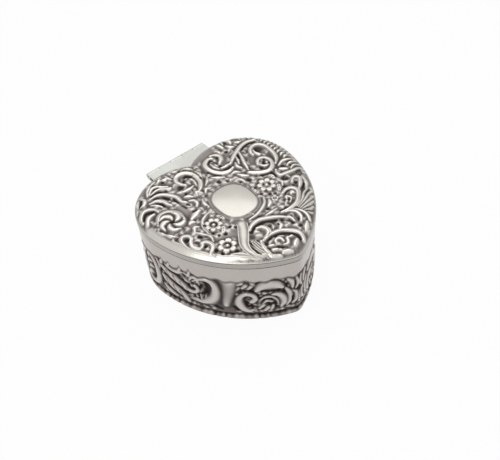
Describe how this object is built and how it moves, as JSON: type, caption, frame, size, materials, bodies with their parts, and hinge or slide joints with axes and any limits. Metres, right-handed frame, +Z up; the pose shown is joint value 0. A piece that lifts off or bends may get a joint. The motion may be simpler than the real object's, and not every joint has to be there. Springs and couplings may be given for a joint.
{
  "type": "wind up music box",
  "caption": "Heart-shaped embossed silver box whose hinged lid uncovers a velvet tray; a key under the base winds a pinned-cylinder movement that plays when the lid lifts.",
  "frame": {"origin": "under the middle of the overall length and width, on the plane of the foot rim", "axes": "+Z up, -Y towards the point of the heart, +Y towards the hinge, +X to the right when the point faces the viewer"},
  "size_m": [0.1, 0.1097, 0.0527],
  "materials": {
    "silver_plate": "aged silver plate, polished on the high places and dark in the hollows",
    "steel": "satin",
    "brass": "satin",
    "zinc": "as cast",
    "velvet": "short pile velvet",
    "board": "plain board",
    "beech": "bare",
    "nylon": "moulded",
    "felt": "felt",
    "ruby_glass": "polished"
  },
  "bodies": {
    "case": {"barrel_bridge": "brass", "base_lugs": "silver_plate", "base_plate": "silver_plate", "base_screws": "steel", "bedplate": "steel", "bedplate_screws": "steel", "bracket_screw": "steel", "bridge_screws": "steel", "case_wall": "silver_plate", "comb": "steel", "comb_block": "zinc", "comb_screws": "steel", "endstone": "ruby_glass", "governor_bracket": "brass", "hinge_leaf_case": "silver_plate", "hinge_pin": "silver_plate", "key_bezel": "brass", "left_pillar": "brass", "lid_collar": "silver_plate", "pillar_screws": "steel", "right_pillar": "brass", "rod_eyelet": "brass", "rod_guide": "brass", "rod_spring": "steel", "thrust_washer": "steel", "tray": "board", "tray_ledge": "beech", "tray_pad": "velvet", "tray_velvet": "velvet", "wrap_spring": "steel"},
    "lid": {"lid_shell": "silver_plate", "hinge_leaf_lid": "silver_plate", "lid_lining": "velvet"},
    "winder": {"key": "steel", "winding_arbor": "steel"},
    "barrel": {"spring_barrel": "brass", "crown_wheel": "brass", "mainspring": "steel"},
    "cylinder": {"cylinder": "brass", "cylinder_arbor": "steel", "cylinder_wheel": "brass"},
    "staff": {"governor_staff": "steel", "worm_wheel": "brass"},
    "governor": {"worm_shaft": "steel", "fly": "nylon"},
    "stop": {"stop_rod": "steel", "brake_arm": "brass", "brake_pad": "felt"}
  },
  "joints": [
    {"name": "lid_hinge", "type": "hinge", "parent": "case", "child": "lid", "pos_m": [0, 0.05296, 0.0426], "axis": [-1, 0, 0], "range_deg": [0, 100]},
    {"name": "key_wind", "type": "hinge", "parent": "case", "child": "winder", "pos_m": [-0.016, 0.01086, 0.004], "axis": [0, 0, 1], "range_deg": [0, 2250]},
    {"name": "cylinder_turn", "type": "hinge", "parent": "case", "child": "cylinder", "pos_m": [0, 0.01086, 0.0218], "axis": [1, 0, 0], "continuous": true},
    {"name": "barrel_turn", "type": "hinge", "parent": "case", "child": "barrel", "pos_m": [-0.016, 0.01086, 0.015], "axis": [0, 0, 1], "continuous": true},
    {"name": "staff_turn", "type": "hinge", "parent": "case", "child": "staff", "pos_m": [0.022, 0.01862, 0.0218], "axis": [1, 0, 0], "continuous": true},
    {"name": "fly_turn", "type": "hinge", "parent": "case", "child": "governor", "pos_m": [0.022, 0.02387, 0.015], "axis": [0, 0, 1], "continuous": true},
    {"name": "stop_slide", "type": "slide", "parent": "case", "child": "stop", "axis": [0, 0, 1], "range_m": [0, 0.0026], "deforming": ["rod_spring"]}
  ],
  "couplings": [
    {"joint": "barrel_turn", "follows": "cylinder_turn", "ratio": 0.25},
    {"joint": "staff_turn", "follows": "cylinder_turn", "ratio": -5},
    {"joint": "fly_turn", "follows": "cylinder_turn", "ratio": 100},
    {"joint": "stop_slide", "follows": "lid_hinge", "m_per_rad": 0.0014}
  ]
}
